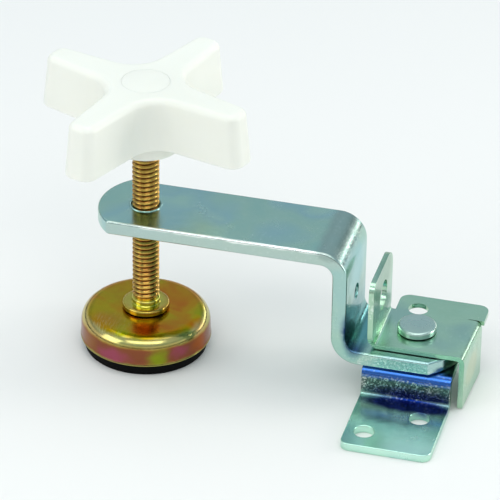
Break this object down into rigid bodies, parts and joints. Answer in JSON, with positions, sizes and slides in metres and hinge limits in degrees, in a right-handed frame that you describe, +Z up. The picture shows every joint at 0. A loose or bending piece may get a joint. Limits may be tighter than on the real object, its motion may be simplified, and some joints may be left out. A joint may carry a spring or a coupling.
{
  "type": "furniture leveling foot",
  "caption": "Swing-arm leveling foot: a hand knob turns a threaded spindle through a Z-bent steel arm, over a rubber-padded cup, riveted between two folded screw-on brackets.",
  "frame": {"origin": "middle of the lower bracket's base plate, on its underside, at floor level", "axes": "+X along the arm from the foot to the brackets, +Z up along the rivet and the spindle, -Y towards the front edge of the base plate"},
  "size_m": [0.132, 0.0722, 0.0876],
  "materials": {
    "base_zinc": "blue-passivated zinc plate, bright, on folded sheet steel",
    "bracket_zinc": "blue-passivated zinc plate, bright, on folded sheet steel",
    "rivet_zinc": "zinc-plated rivet, satin head with a bright rim",
    "blue_zinc": "blue-passivated zinc plate, bright, on bent flat bar",
    "plain_steel": "plain oiled steel",
    "yellow_zinc": "iridescent yellow-chromated zinc plate on pressed steel",
    "spindle_zinc": "yellow-chromated zinc plate on rolled thread",
    "black_rubber": "matt black moulded rubber",
    "white_plastic": "satin moulded white polyamide"
  },
  "bodies": {
    "bracket": {"lower_bracket": "base_zinc", "upper_bracket": "bracket_zinc", "pivot_rivet": "rivet_zinc", "pivot_washer": "plain_steel"},
    "arm": {"swing_arm": "blue_zinc"},
    "foot": {"foot_cup": "yellow_zinc", "foot_retaining_washer": "plain_steel", "foot_pad": "black_rubber"},
    "screw": {"spindle": "spindle_zinc", "knob_body": "white_plastic", "knob_cap": "white_plastic", "knob_insert": "plain_steel"}
  },
  "joints": [
    {"name": "arm_swing", "type": "hinge", "parent": "bracket", "child": "arm", "pos_m": [0, 0.027, 0], "axis": [0, 0, 1], "range_deg": [-29, 94]},
    {"name": "foot_travel", "type": "slide", "parent": "arm", "child": "foot", "axis": [0, 0, 1], "range_m": [-0.019, 0.026]},
    {"name": "knob_turn", "type": "hinge", "parent": "foot", "child": "screw", "pos_m": [-0.0811, 0.0262, 0], "axis": [0, 0, 1], "range_deg": [-4561, 6241]}
  ],
  "couplings": [
    {"joint": "knob_turn", "follows": "foot_travel", "rad_per_m": 4188.8}
  ]
}
